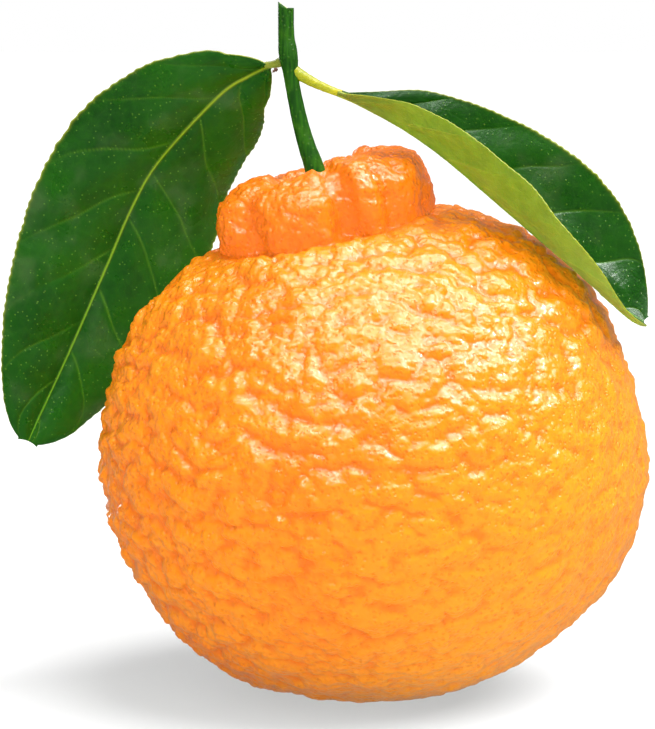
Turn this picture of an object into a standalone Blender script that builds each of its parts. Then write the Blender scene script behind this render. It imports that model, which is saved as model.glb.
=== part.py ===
"""A knobbly-necked mandarin as picked: the fruit, its calyx, the cut stem, and two leaves on short stalks.

Metres, +Z up. The origin is the middle of the small flat spot that the fruit rests on. The fruit's front is
-Y. The neck leans towards -X. Each leaf is a blade jointed to its own stalk, as citrus leaves are.
"""

from math import atan2, cos, degrees, exp, log, pi, radians, sin, sqrt, tan

import bmesh
import bpy
from mathutils import Matrix, Vector
from mathutils.geometry import interpolate_bezier

MM = 0.001
TOUCHING = 0.3 * MM  # the gap kept between two pieces that grow on each other

# The fruit's body, as an ellipsoid before its swellings are added.
FRUIT_WIDTH = 94.6 * MM
FRUIT_DEPTH = 93.0 * MM
FRUIT_HEIGHT = 86.6 * MM
REST_RADIUS = 9.6 * MM
FRUIT_SEGMENTS = 72
FRUIT_RINGS = 36
NECK_RING_SHARE = 1 / 3

# Broad swellings: degrees from straight up, degrees round from +X, height, and degrees of reach.
SWELLINGS = {
    "right_shoulder": (36, -8, 2.65 * MM, 26),
    "left_shoulder": (52, 175, 0.6 * MM, 24),
    "left_heel": (142, 185, 1.2 * MM, 22),
    "right_flank": (108, 5, 1.2 * MM, 24),
    "back_cheek": (80, 100, 0.9 * MM, 30),
}

# The neck, a ring of lobes round the hollow that the stem comes out of. Angles are in degrees from its axis.
NECK_LEAN = 12.2
NECK_RISE = 7.9 * MM
NECK_SHOULDER = 11.0
NECK_FOOT = 25.0
NECK_FOOT_SPREAD = 0.6
NECK_GROOVE_DEPTH = 0.9 * MM
NECK_GROOVE_WIDTH = 2.6
TALL_LOBE_RISE = 2.1 * MM
TALL_LOBE_AT = -12
TALL_LOBE_REACH = 68
HOLLOW_FLOOR_RISE = 1.4 * MM
HOLLOW_FLOOR_EDGE = 4.2
HOLLOW_RIM = 10.0

# Folds that part the neck's lobes: degrees round the neck's axis from +X, depth, and half-width in degrees.
NECK_FOLDS = {
    "front_main": (-75, 1.5 * MM, 9),
    "front_right": (-48, 0.7 * MM, 7),
    "front_left": (-133, 0.8 * MM, 10),
    "left": (178, 0.8 * MM, 11),
    "back_left": (132, 1.1 * MM, 10),
    "back": (82, 1.1 * MM, 9),
    "back_right": (38, 0.8 * MM, 10),
}
FOLD_TOP_SHARE = 0.35  # how much of a fold's depth it also has across the neck's top

# The calyx button at the stem's foot.
CALYX_RADIUS = 3.1 * MM
CALYX_HEIGHT = 1.5 * MM
CALYX_LOBES = 5
CALYX_LOBE_DEPTH = 0.16
CALYX_SEGMENTS = 40

# The stem. Each point of its middle line is how far it stands right of the calyx and above it.
STEM_COURSE = ((0.0, 0.0), (0.0, 3.4), (-2.1, 10.0), (-3.5, 16.0), (-4.4, 21.6), (-5.0, 26.5), (-5.1, 31.85))
STEM_RADIUS = 1.22 * MM
STEM_FOOT_FLARE = 0.9 * MM
STEM_FOOT_REACH = 7.0 * MM
STEM_TOP_RADIUS = 1.36 * MM
NODE_HEIGHT = 23.4 * MM
NODE_SWELL = 0.42 * MM
NODE_REACH = 2.0 * MM
CUT_SLANT = 36
STEM_RINGS = 30
SPROUT_SIDES = 14

# Leaf stalks: how far along the node they leave the stem, and the stalk's own length and thickness.
LEFT_STALK_DROP = 0.4 * MM
LEFT_STALK_LENGTH = 2.0 * MM
LEFT_STALK_RADIUS = 0.82 * MM
LEFT_STALK_HEADING = (-0.70, 0.64, -0.28)
RIGHT_STALK_DROP = 2.2 * MM
RIGHT_STALK_LENGTH = 6.6 * MM
RIGHT_STALK_RADIUS = 0.95 * MM
RIGHT_STALK_HEADING = (0.87, -0.02, -0.50)
STALK_TIP_SHARE = 0.68
STALK_LIFT = 0.1  # how far a stalk bends back up, as a share of its length
STALK_SET_OUT = 0.62  # how far its end face stands off the bark, as a share of its radius

# The bud in the left leaf's axil.
BUD_LENGTH = 1.15 * MM
BUD_RADIUS = 0.33 * MM
BUD_DROP = 0.5 * MM
BUD_HEADING = (-0.75, -0.35, -0.56)

# Leaf blades. A course is the midrib's way from the stalk: right, back and up, in shares of the leaf's
# reach. The turns of each half are degrees from the front towards the leaf's right-hand side, at the
# shares of the midrib in LEAF_STATIONS.
LEAF_STATIONS = (0.0, 0.12, 0.3, 0.5, 0.7, 0.86, 1.0)
LEAF_ROWS = 34
LEAF_HALF_COLUMNS = 6
LEAF_THICKNESS = 0.5 * MM
LEAF_CLEARANCE = 1.0 * MM  # the least room between the middle of a blade and the rind
LEAF_BASE_HALF_WIDTH = 0.75 * MM
LEAF_TIP_SHARE = 0.11
LEAF_BASE_FILL = 0.6
LEAF_BASE_REACH = 0.2

LEFT_LEAF_REACH = 81.5 * MM
LEFT_LEAF_HALF_WIDTH = 17.6 * MM
LEFT_LEAF_WIDEST = 0.49
LEFT_LEAF_TAPER = 0.52
LEFT_LEAF_COURSE = (
    (0.0, 0.0, 0.0),
    (-0.046, 0.047, -0.025),
    (-0.111, 0.083, -0.071),
    (-0.243, 0.139, -0.215),
    (-0.305, 0.160, -0.320),
    (-0.361, 0.175, -0.447),
    (-0.456, 0.172, -0.661),
    (-0.541, 0.151, -0.842),
)
LEFT_LEAF_RIGHT_TURNS = (88, 114, 121, 100, 101, 104, 100)
LEFT_LEAF_LEFT_TURNS = (-60, -67, -73, -69, -65, -62, -68)
LEFT_LEAF_RIGHT_CURL = 20
LEFT_LEAF_LEFT_CURL = -14

RIGHT_LEAF_REACH = 68.5 * MM
RIGHT_LEAF_HALF_WIDTH = 14.1 * MM
RIGHT_LEAF_WIDEST = 0.62
RIGHT_LEAF_TAPER = 0.56
RIGHT_LEAF_COURSE = (
    (0.0, 0.0, 0.0),
    (0.069, -0.028, -0.026),
    (0.169, -0.061, -0.078),
    (0.272, -0.088, -0.150),
    (0.410, -0.112, -0.266),
    (0.534, -0.121, -0.372),
    (0.694, -0.107, -0.512),
    (0.770, -0.091, -0.574),
)
RIGHT_LEAF_NEAR_TURNS = (26, 23, 20, 14, 4, -5, -13)
RIGHT_LEAF_FAR_TURNS = (120, 114, 111, 109, 111, 121, 132)
RIGHT_LEAF_NEAR_CURL = 22
RIGHT_LEAF_FAR_CURL = -22


def step(value):
    """0 below 0, 1 above 1, and smooth between."""
    value = min(max(value, 0.0), 1.0)
    return value * value * (3 - 2 * value)


def heading(from_up, around):
    """The unit vector this many degrees from straight up, turned this many degrees from +X."""
    tilt, turn = radians(from_up), radians(around)
    return Vector((sin(tilt) * cos(turn), sin(tilt) * sin(turn), cos(tilt)))


NECK_AXIS = heading(NECK_LEAN, 180)
NECK_RIGHT = Vector((NECK_AXIS.z, 0, -NECK_AXIS.x))
NECK_RADIUS = FRUIT_HEIGHT / 2 * sin(radians(NECK_FOOT))
CENTRE = Vector((0, 0, FRUIT_HEIGHT / 2 * sqrt(1 - (2 * REST_RADIUS / FRUIT_WIDTH) ** 2)))


def body_radius(way):
    """How far the body reaches from its centre in this direction, with its swellings."""
    x, y, z = way
    half_width, half_depth, half_height = FRUIT_WIDTH / 2, FRUIT_DEPTH / 2, FRUIT_HEIGHT / 2
    radius = 1 / sqrt((x / half_width) ** 2 + (y / half_depth) ** 2 + (z / half_height) ** 2)
    for from_up, around, height, reach in SWELLINGS.values():
        away = heading(from_up, around).angle(way, 0.0) / radians(reach)
        radius += height * exp(-(away**4))
    return radius


def turn_between(first, second):
    """The unsigned difference of two bearings in degrees."""
    return abs((first - second + 180) % 360 - 180)


def neck_fold(around):
    """How deep the folds between the neck's lobes are at this many degrees round it."""
    return sum(
        depth * exp(-((turn_between(around, at) / half_width) ** 2))
        for at, depth, half_width in NECK_FOLDS.values()
    )


def neck_foot(around):
    """Degrees from the neck's axis to the foot of its wall, which each fold draws in."""
    spread = NECK_FOOT_SPREAD * cos(radians(around - TALL_LOBE_AT))
    return NECK_FOOT + spread - degrees(neck_fold(around) / NECK_RADIUS)


def neck_rise(from_axis, around):
    """How far the neck lifts the rind at this many degrees from its axis and round it."""
    foot = neck_foot(around)
    rise = NECK_RISE + TALL_LOBE_RISE * exp(-((turn_between(around, TALL_LOBE_AT) / TALL_LOBE_REACH) ** 4))
    rise -= neck_fold(around) * FOLD_TOP_SHARE
    down_wall = max(from_axis - NECK_SHOULDER, 0.0) / (foot - NECK_SHOULDER)
    rise *= max(1 - down_wall**4, 0.0) ** 0.85
    mouth = step((from_axis - HOLLOW_FLOOR_EDGE) / (HOLLOW_RIM - HOLLOW_FLOOR_EDGE))
    groove = exp(-(((from_axis - foot) / NECK_GROOVE_WIDTH) ** 2))
    return HOLLOW_FLOOR_RISE + (rise - HOLLOW_FLOOR_RISE) * mouth - NECK_GROOVE_DEPTH * groove


def ring_angle(share):
    """Degrees from the neck's axis of the ring at this share of the rings: they lie closer on the neck."""
    neck_end = NECK_FOOT + NECK_GROOVE_WIDTH
    if share < NECK_RING_SHARE:
        return neck_end * share / NECK_RING_SHARE
    return neck_end + (180 - neck_end) * (share - NECK_RING_SHARE) / (1 - NECK_RING_SHARE)


def rind_radius(way):
    """How far the rind is from the fruit's centre in this direction, neck and folds included."""
    level, right = way - NECK_AXIS * way.dot(NECK_AXIS), way.dot(NECK_RIGHT)
    around = degrees(atan2(level.y, right)) if level.length > 1e-6 else 0.0
    from_axis = degrees(NECK_AXIS.angle(way))
    return body_radius(way) + (neck_rise(from_axis, around) if from_axis < 90 else 0.0)


def clear_of_fruit(point):
    """This point of a leaf, or the nearest one further out that keeps clear of the rind."""
    way = (point - CENTRE).normalized()
    reach = rind_radius(way) + LEAF_CLEARANCE
    return point if (point - CENTRE).length >= reach else CENTRE + way * reach


def rind_point(share, around):
    """The rind's point at this share of the rings, from the hollow's floor to the flat spot."""
    from_axis = ring_angle(share)
    past_neck = step((from_axis - NECK_FOOT) / NECK_FOOT)
    from_axis *= 1 + (neck_foot(around) / NECK_FOOT - 1) * (1 - past_neck)
    lean = NECK_LEAN * (1 - step((from_axis - 40) / 100))
    way = Matrix.Rotation(radians(-lean), 3, "Y") @ heading(from_axis, around)
    point = CENTRE + way * rind_radius(way)
    point.z = max(point.z, 0.0)
    return point


def new_object(name, bm, material):
    """A node made from this bmesh, shaded smooth with its edges kept."""
    bmesh.ops.recalc_face_normals(bm, faces=bm.faces[:])
    mesh = bpy.data.meshes.new(name)
    bm.to_mesh(mesh)
    bm.free()
    mesh.materials.append(material)
    mesh.shade_smooth()
    mesh.set_sharp_from_angle(angle=radians(50))
    obj = bpy.data.objects.new(name, mesh)
    bpy.context.scene.collection.objects.link(obj)
    return obj


def new_material(name, colour, roughness):
    material = bpy.data.materials.new(name)
    material.use_nodes = True
    shader = material.node_tree.nodes["Principled BSDF"]
    shader.inputs["Base Color"].default_value = (*colour, 1)
    shader.inputs["Roughness"].default_value = roughness
    shader.inputs["Metallic"].default_value = 0.0
    return material


def make_fruit(material):
    """A sphere of rings round the neck's axis, each of its points moved out to the rind."""
    bm = bmesh.new()
    bmesh.ops.create_uvsphere(bm, u_segments=FRUIT_SEGMENTS, v_segments=FRUIT_RINGS, radius=1)
    for vert in bm.verts:
        share = Vector((0, 0, 1)).angle(vert.co) / pi
        around = Vector((1, 0)).angle_signed(vert.co.xy, 0.0) if vert.co.xy.length > 1e-4 else 0.0
        vert.co = rind_point(share, -around * 180 / pi)
    return new_object("fruit", bm, material)


def calyx_seat():
    """The middle of the calyx's underside, just above the hollow's floor."""
    floor = body_radius(NECK_AXIS) + neck_rise(0.0, 0.0)
    return CENTRE + NECK_AXIS * (floor + TOUCHING)


def make_calyx(material):
    """A low five-lobed button, turned about the neck's axis."""
    bm = bmesh.new()
    profile = ((0.55, 0.0), (0.86, 0.12), (1.0, 0.42), (0.94, 0.7), (0.72, 0.93), (0.4, 1.0))
    rings = []
    for out, up in profile:
        ring = []
        for index in range(CALYX_SEGMENTS):
            turn = 2 * pi * index / CALYX_SEGMENTS
            radius = CALYX_RADIUS * out * (1 - CALYX_LOBE_DEPTH * out * (1 - cos(CALYX_LOBES * turn)) / 2)
            ring.append(bm.verts.new((radius * cos(turn), radius * sin(turn), CALYX_HEIGHT * up)))
        rings.append(ring)
    close_rings(bm, rings)
    turn_to_axis = Vector((0, 0, 1)).rotation_difference(NECK_AXIS).to_matrix().to_4x4()
    bmesh.ops.transform(bm, matrix=Matrix.Translation(calyx_seat()) @ turn_to_axis, verts=bm.verts[:])
    return new_object("calyx", bm, material)


def close_rings(bm, rings):
    """Faces from each ring of points to the next, with the first and last rings filled."""
    for first, second in zip(rings, rings[1:]):
        for index in range(len(first)):
            after = (index + 1) % len(first)
            bm.faces.new((first[index], first[after], second[after], second[index]))
    bm.faces.new(rings[0])
    bm.faces.new(rings[-1])


def smooth_course(points, shares):
    """The points at these shares of the length of a smooth curve through the given ones."""
    fine = []
    for index in range(len(points) - 1):
        before = points[max(index - 1, 0)]
        after = points[min(index + 2, len(points) - 1)]
        start, end = points[index], points[index + 1]
        knots = (start, start + (end - before) / 6, end - (after - start) / 6, end)
        fine += interpolate_bezier(*knots, 16)[bool(fine) :]
    lengths = [0.0]
    for first, second in zip(fine, fine[1:]):
        lengths.append(lengths[-1] + (second - first).length)
    return [point_along(fine, lengths, lengths[-1] * share) for share in shares]


def point_along(points, lengths, distance):
    """The point this far along a run of points whose running lengths are given."""
    index = 1
    while index < len(points) - 1 and lengths[index] < distance:
        index += 1
    span = lengths[index] - lengths[index - 1]
    return points[index - 1].lerp(points[index], (distance - lengths[index - 1]) / span)


def tangents(points):
    """The direction of a run of points at each one."""
    ways = []
    for index in range(len(points)):
        before, after = points[max(index - 1, 0)], points[min(index + 1, len(points) - 1)]
        ways.append((after - before).normalized())
    return ways


def sprout(name, points, radii, material, slant=0, foot_way=None):
    """A round shoot along these points. Its far end is cut at this many degrees of slant, lower at +X."""
    bm = bmesh.new()
    rings = []
    ways = tangents(points)
    ways[0] = foot_way or ways[0]
    for point, way, radius in zip(points, ways, radii):
        side = Vector((0, 1, 0)).cross(way).normalized()
        other = way.cross(side)
        turns = [2 * pi * index / SPROUT_SIDES for index in range(SPROUT_SIDES)]
        rings.append([bm.verts.new(point + radius * (cos(t) * side + sin(t) * other)) for t in turns])
    for vert in rings[-1]:
        vert.co.z -= (vert.co.x - points[-1].x) * tan(radians(slant))
    close_rings(bm, rings)
    return new_object(name, bm, material)


def stem_points():
    foot = calyx_seat() + NECK_AXIS * (CALYX_HEIGHT + TOUCHING)
    course = [foot + Vector((right * MM, 0, up * MM)) for right, up in STEM_COURSE]
    return smooth_course(course, [index / (STEM_RINGS - 1) for index in range(STEM_RINGS)])


def stem_radius(above_foot):
    """The stem's radius this far above the calyx: flared at its foot and swollen at the leaves' node."""
    flare = STEM_FOOT_FLARE * exp(-above_foot / STEM_FOOT_REACH)
    swell = NODE_SWELL * exp(-(((above_foot - NODE_HEIGHT) / NODE_REACH) ** 2))
    above_node = step((above_foot - NODE_HEIGHT) / NODE_REACH)
    return STEM_RADIUS + (STEM_TOP_RADIUS - STEM_RADIUS) * above_node + flare + swell


def stem_at(above_foot):
    """The middle of the stem at this height above the calyx."""
    points = stem_points()
    for lower, upper in zip(points, points[1:]):
        if upper.z - points[0].z >= above_foot:
            share = (above_foot - (lower.z - points[0].z)) / (upper.z - lower.z)
            return lower.lerp(upper, share)
    return points[-1]


def make_stem(material):
    points = stem_points()
    radii = [stem_radius(point.z - points[0].z) for point in points]
    return sprout("stem", points, radii, material, CUT_SLANT, NECK_AXIS)


def stalk_root(drop, way):
    """Where a stalk or bud leaves the stem, clear of its bark, this far below the leaves' node."""
    height = NODE_HEIGHT - drop
    level = Vector((way.x, way.y, 0))
    bark = stem_radius(height) + TOUCHING
    return stem_at(height) + way * (bark / level.length)


def stalk_points(drop, length, way, radius):
    """The stalk's middle line, which starts far enough out for its whole end face to clear the bark."""
    way = Vector(way).normalized()
    root = stalk_root(drop, way) + way * radius * STALK_SET_OUT
    lift = Vector((0, 0, STALK_LIFT * length))
    return [root + way * length * share + lift * share**2 for share in (0, 0.25, 0.5, 0.75, 1)]


def make_stalk(name, drop, length, way, radius, material):
    points = stalk_points(drop, length, way, radius)
    radii = [radius * (1 - (1 - STALK_TIP_SHARE) * step(i / 4)) for i in range(len(points))]
    return sprout(name, points, radii, material)


def make_bud(material):
    way = Vector(BUD_HEADING).normalized()
    root = stalk_root(BUD_DROP, way) + way * BUD_RADIUS
    points = [root + way * BUD_LENGTH * share for share in (0, 0.2, 0.45, 0.7, 0.9, 1)]
    radii = [BUD_RADIUS * (1 - 0.8 * share**1.5) for share in (0.1, 0.0, 0.2, 0.5, 0.8, 1)]
    return sprout("axil_bud", points, radii, material)


def blade_half_width(share, half_width, widest, taper):
    """Half the blade's width at this share of its length: an oval, blunt at its tip."""
    bend = log(0.5) / log(widest)
    oval = sin(pi * share**bend) ** taper if 0 < share < 1 else 0.0
    oval *= LEAF_BASE_FILL + (1 - LEAF_BASE_FILL) * step(share / LEAF_BASE_REACH)
    width = half_width * oval
    if share > 0.5:
        return max(width, half_width * LEAF_TIP_SHARE)
    return max(width, LEAF_BASE_HALF_WIDTH)


def between_stations(values, share):
    """The value at this share of the midrib, eased between its stations."""
    total = 0.0
    for shift in (-0.05, 0.0, 0.05):
        place = min(max(share + shift, 0.0), 1.0)
        index = 0
        while index < len(LEAF_STATIONS) - 2 and LEAF_STATIONS[index + 1] < place:
            index += 1
        start, end = LEAF_STATIONS[index], LEAF_STATIONS[index + 1]
        total += values[index] + (values[index + 1] - values[index]) * (place - start) / (end - start)
    return total / 3


def blade_rows(course, oval, halves):
    """Rows of points across the blade, closer at its ends. Each half has its turns and its curl."""
    shares = [(1 - cos(pi * index / (LEAF_ROWS - 1))) / 2 for index in range(LEAF_ROWS)]
    spine = smooth_course(course, shares)
    columns = range(-LEAF_HALF_COLUMNS, LEAF_HALF_COLUMNS + 1)
    rows = []
    for share, point, along in zip(shares, spine, tangents(spine)):
        front = Vector((0, -1, 0))
        front = (front - along * front.dot(along)).normalized()
        right = front.cross(along)
        width = blade_half_width(share, *oval)
        row = []
        for column in columns:
            out = abs(column) / LEAF_HALF_COLUMNS
            turns, curl = halves[column > 0]
            turn = radians(between_stations(turns, share) + curl * (out - 0.5))
            row.append(clear_of_fruit(point + width * out * (cos(turn) * front + sin(turn) * right)))
        rows.append(row)
    return rows


def blade_base(stalk, first_way):
    """Where a blade starts, clear of its stalk's whole end face."""
    way = tangents(stalk[0])[-1]
    lap = stalk[1] * STALK_TIP_SHARE * sin(way.angle(first_way))
    return stalk[0][-1] + way * (TOUCHING + lap)


def make_leaf(name, stalk, course, reach, oval, halves, material):
    """A thin blade, folded and curled about its midrib."""
    course = [Vector(point) for point in course]
    base = blade_base(stalk, (course[1] - course[0]).normalized())
    course = [base + point * reach for point in course]
    bm = bmesh.new()
    rows = [[bm.verts.new(point) for point in row] for row in blade_rows(course, oval, halves)]
    for row, after in zip(rows, rows[1:]):
        for index in range(len(row) - 1):
            bm.faces.new((row[index], row[index + 1], after[index + 1], after[index]))
    leaf = new_object(name, bm, material)
    thicken = leaf.modifiers.new("thickness", "SOLIDIFY")
    thicken.thickness = LEAF_THICKNESS
    thicken.offset = 0
    thicken.use_even_offset = True
    return leaf


def main():
    for obj in list(bpy.data.objects):
        bpy.data.objects.remove(obj, do_unlink=True)
    rind = new_material("rind", (0.95, 0.30, 0.015), 0.38)
    bark = new_material("green_bark", (0.075, 0.16, 0.025), 0.6)
    button = new_material("calyx_green", (0.13, 0.17, 0.04), 0.7)
    stalk = new_material("stalk_yellow_green", (0.38, 0.42, 0.05), 0.5)
    scale = new_material("bud_scale", (0.16, 0.035, 0.015), 0.6)
    blade = new_material("leaf_green", (0.022, 0.12, 0.012), 0.42)

    make_fruit(rind)
    make_calyx(button)
    make_stem(bark)
    make_bud(scale)
    left = (LEFT_STALK_DROP, LEFT_STALK_LENGTH, LEFT_STALK_HEADING, LEFT_STALK_RADIUS)
    right = (RIGHT_STALK_DROP, RIGHT_STALK_LENGTH, RIGHT_STALK_HEADING, RIGHT_STALK_RADIUS)
    make_stalk("left_stalk", *left, stalk)
    make_stalk("right_stalk", *right, stalk)
    make_leaf(
        "left_leaf",
        (stalk_points(*left), LEFT_STALK_RADIUS),
        LEFT_LEAF_COURSE,
        LEFT_LEAF_REACH,
        (LEFT_LEAF_HALF_WIDTH, LEFT_LEAF_WIDEST, LEFT_LEAF_TAPER),
        ((LEFT_LEAF_LEFT_TURNS, LEFT_LEAF_LEFT_CURL), (LEFT_LEAF_RIGHT_TURNS, LEFT_LEAF_RIGHT_CURL)),
        blade,
    )
    make_leaf(
        "right_leaf",
        (stalk_points(*right), RIGHT_STALK_RADIUS),
        RIGHT_LEAF_COURSE,
        RIGHT_LEAF_REACH,
        (RIGHT_LEAF_HALF_WIDTH, RIGHT_LEAF_WIDEST, RIGHT_LEAF_TAPER),
        ((RIGHT_LEAF_NEAR_TURNS, RIGHT_LEAF_NEAR_CURL), (RIGHT_LEAF_FAR_TURNS, RIGHT_LEAF_FAR_CURL)),
        blade,
    )


main()
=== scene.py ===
"""The looks of a knobbly-necked mandarin with its cut stem and two leaves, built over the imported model.

Metres, +Z up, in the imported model's frame: the origin is the middle of the spot that the fruit rests on, and
the fruit's front is -Y. Each piece stands for one CAD node and is fitted to that node's box.
"""

from math import cos, log, pi, radians, sin, sqrt

import bpy
import numpy as np
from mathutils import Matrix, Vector
from mathutils.geometry import interpolate_bezier
from numpy.linalg import norm


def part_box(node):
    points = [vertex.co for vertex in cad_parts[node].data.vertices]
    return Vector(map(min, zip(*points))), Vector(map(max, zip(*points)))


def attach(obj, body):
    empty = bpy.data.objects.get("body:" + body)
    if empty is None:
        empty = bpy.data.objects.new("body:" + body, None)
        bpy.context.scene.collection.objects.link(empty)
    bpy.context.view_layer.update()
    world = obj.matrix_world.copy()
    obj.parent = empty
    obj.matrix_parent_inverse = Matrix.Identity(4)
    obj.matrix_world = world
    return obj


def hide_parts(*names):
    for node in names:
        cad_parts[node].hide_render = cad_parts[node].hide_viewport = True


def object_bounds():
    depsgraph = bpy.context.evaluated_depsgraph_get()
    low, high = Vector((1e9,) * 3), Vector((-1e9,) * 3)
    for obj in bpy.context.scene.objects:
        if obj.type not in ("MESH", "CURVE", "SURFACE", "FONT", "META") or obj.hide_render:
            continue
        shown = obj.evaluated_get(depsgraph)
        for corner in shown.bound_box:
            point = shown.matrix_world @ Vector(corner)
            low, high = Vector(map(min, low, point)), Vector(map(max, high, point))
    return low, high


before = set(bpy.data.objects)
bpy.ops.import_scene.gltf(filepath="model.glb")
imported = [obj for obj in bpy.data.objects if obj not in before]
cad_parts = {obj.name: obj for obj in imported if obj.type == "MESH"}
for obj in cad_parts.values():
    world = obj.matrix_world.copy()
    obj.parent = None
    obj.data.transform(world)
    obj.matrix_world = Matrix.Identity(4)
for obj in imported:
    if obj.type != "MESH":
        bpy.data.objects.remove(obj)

CAD_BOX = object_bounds()
MM = 0.001

# ---- the rind's large shape, as in the CAD
FRUIT_WIDTH = 94.6 * MM
FRUIT_DEPTH = 93.0 * MM
FRUIT_HEIGHT = 86.6 * MM
REST_RADIUS = 9.6 * MM
SWELLINGS = (  # degrees from straight up, degrees round from +X, height, degrees of reach
    (36, -8, 2.65 * MM, 26),
    (52, 175, 0.6 * MM, 24),
    (142, 185, 1.2 * MM, 22),
    (108, 5, 1.2 * MM, 24),
    (80, 100, 0.9 * MM, 30),
)
NECK_LEAN = 12.2
NECK_RISE = 7.9 * MM
NECK_SHOULDER = 11.0
NECK_FOOT = 25.0
NECK_FOOT_SPREAD = 0.6
NECK_GROOVE_DEPTH = 0.9 * MM
NECK_GROOVE_WIDTH = 2.6
NECK_WALL_STEEPNESS = 4
NECK_WALL_ROUNDNESS = 0.85
TALL_LOBE_RISE = 2.1 * MM
TALL_LOBE_AT = -12
TALL_LOBE_REACH = 68
HOLLOW_FLOOR_RISE = 1.4 * MM
HOLLOW_FLOOR_EDGE = 4.2
HOLLOW_RIM = 10.0
NECK_FOLDS = (  # degrees round the neck's axis from +X, depth, half-width in degrees
    (-75, 1.5 * MM, 9),
    (-48, 0.7 * MM, 7),
    (-133, 0.8 * MM, 10),
    (178, 0.8 * MM, 11),
    (132, 1.1 * MM, 10),
    (82, 1.1 * MM, 9),
    (38, 0.8 * MM, 10),
)
FOLD_TOP_SHARE = 0.35
NECK_RADIUS = FRUIT_HEIGHT / 2 * sin(radians(NECK_FOOT))
CENTRE = np.array((0, 0, FRUIT_HEIGHT / 2 * sqrt(1 - (2 * REST_RADIUS / FRUIT_WIDTH) ** 2)))
NECK_AXIS = np.array((-sin(radians(NECK_LEAN)), 0, cos(radians(NECK_LEAN))))
NECK_RIGHT = np.array((NECK_AXIS[2], 0, -NECK_AXIS[0]))

RIND_RINGS = 400
RIND_SEGMENTS = 540
NECK_RING_SHARE = 0.3
LEAN_WHOLE_TO = 40  # degrees from the neck's axis
LEAN_FADE = 100  # degrees over which they come upright again
TINY = 1e-15  # keeps a division from dividing by nothing


def step(value):
    """0 below 0, 1 above 1, and smooth between."""
    value = np.clip(value, 0.0, 1.0)
    return value * value * (3 - 2 * value)


def bell(value):
    """1 at 0, falling smoothly to 0 on both sides."""
    return np.exp(-(value**2))


# ---- noise in space, the same on every run
# A seed says which of many patterns is used. Each use of waves, cells or mounds has its own.
CELL_FACTORS = (73856093, 19349663, 83492791)
SEED_FACTOR = 50331653
MIXES = ((13, 1274126177), (15, 2246822519))  # shift, factor
LAST_SHIFT = 16
LOW_32_BITS = 0xFFFFFFFF
LOW_16_BITS = 0xFFFF
WAVE_GAIN = 1.6
SCATTER = 0.9
FAR = 9.0  # farther than any point looked at
MOUND_REACH = 0.78


def lattice(cell, seed):
    """A repeatable number from 0 to 1 for each whole-number cell."""
    mixed = seed * SEED_FACTOR
    for axis, factor in enumerate(CELL_FACTORS):
        mixed = mixed ^ (cell[..., axis] * factor)
    for shift, factor in MIXES:
        mixed = (mixed ^ (mixed >> shift)) * factor & LOW_32_BITS
    return ((mixed ^ (mixed >> LAST_SHIFT)) & LOW_16_BITS) / LOW_16_BITS


def waves(points, seed):
    """Smooth noise from about -1 to 1, with one wave to each unit of space."""
    base = np.floor(points).astype(np.int64)
    part = points - base
    ease = part**3 * (part * (part * 6 - 15) + 10)
    total = np.zeros(len(points))
    for corner in np.ndindex(2, 2, 2):
        corner = np.array(corner)
        slope = np.stack([lattice(base + corner, seed + axis) for axis in range(3)], -1) * 2 - 1
        weight = np.prod(np.where(corner, ease, 1 - ease), axis=1)
        total += weight * ((part - corner) * slope).sum(1)
    return total * WAVE_GAIN


def cells(points, seed):
    """How near the two nearest of the points scattered one to a cell are, and the nearest's own number."""
    base = np.floor(points).astype(np.int64)
    near = np.full(len(points), FAR)
    second = np.full(len(points), FAR)
    number = np.zeros(len(points))
    for corner in np.ndindex(3, 3, 3):
        cell = base + np.array(corner) - 1
        jitter = np.stack([lattice(cell, seed + axis) for axis in range(3)], -1)
        away = norm(cell + 0.5 + (jitter - 0.5) * SCATTER - points, axis=1)
        closer = away < near
        second = np.where(closer, near, np.minimum(second, away))
        near = np.where(closer, away, near)
        number = np.where(closer, lattice(cell, seed + 3), number)
    return near, second, number


def mounds(points, seed):
    """Rounded mounds, one to a unit cell: 1 on top and near 0 in the creases. Also each mound's number."""
    near, _, number = cells(points, seed)
    return np.maximum(1 - (near / MOUND_REACH) ** 2, 0), number


def grain(points, layers):
    """Layers of waves added up, in mm. Each layer has its height and its size in mm, and its seed."""
    return sum(height * waves(points / MM / size, seed) for height, size, seed in layers)


# ---- the plain rind
def unit(ways):
    return ways / norm(ways, axis=-1, keepdims=True)


def angle_between(ways, way):
    """The radians between each of these unit vectors and this one."""
    return np.arccos(np.clip(ways @ way, -1, 1))


def heading(from_up, around):
    """The unit vectors these many radians from straight up, and round from +X."""
    level = np.sin(from_up)
    return np.stack([level * np.cos(around), level * np.sin(around), np.cos(from_up)], -1)


def body_radius(ways):
    """How far the body reaches from its centre in each direction."""
    half = np.array((FRUIT_WIDTH, FRUIT_DEPTH, FRUIT_HEIGHT)) / 2
    radius = 1 / norm(ways / half, axis=-1)
    for from_up, around, height, reach in SWELLINGS:
        away = angle_between(ways, heading(radians(from_up), radians(around))) / radians(reach)
        radius += height * np.exp(-(away**4))
    return radius


def bearing_gap(first, second):
    """The unsigned difference of bearings in degrees."""
    return np.abs((first - second + 180) % 360 - 180)


def neck_fold(around):
    """How deep the folds between the neck's lobes are at these bearings."""
    return sum(depth * bell(bearing_gap(around, at) / width) for at, depth, width in NECK_FOLDS)


def neck_foot(around):
    """Degrees from the neck's axis to the foot of its wall."""
    spread = NECK_FOOT_SPREAD * np.cos(np.radians(around - TALL_LOBE_AT))
    return NECK_FOOT + spread - np.degrees(neck_fold(around) / NECK_RADIUS)


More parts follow.
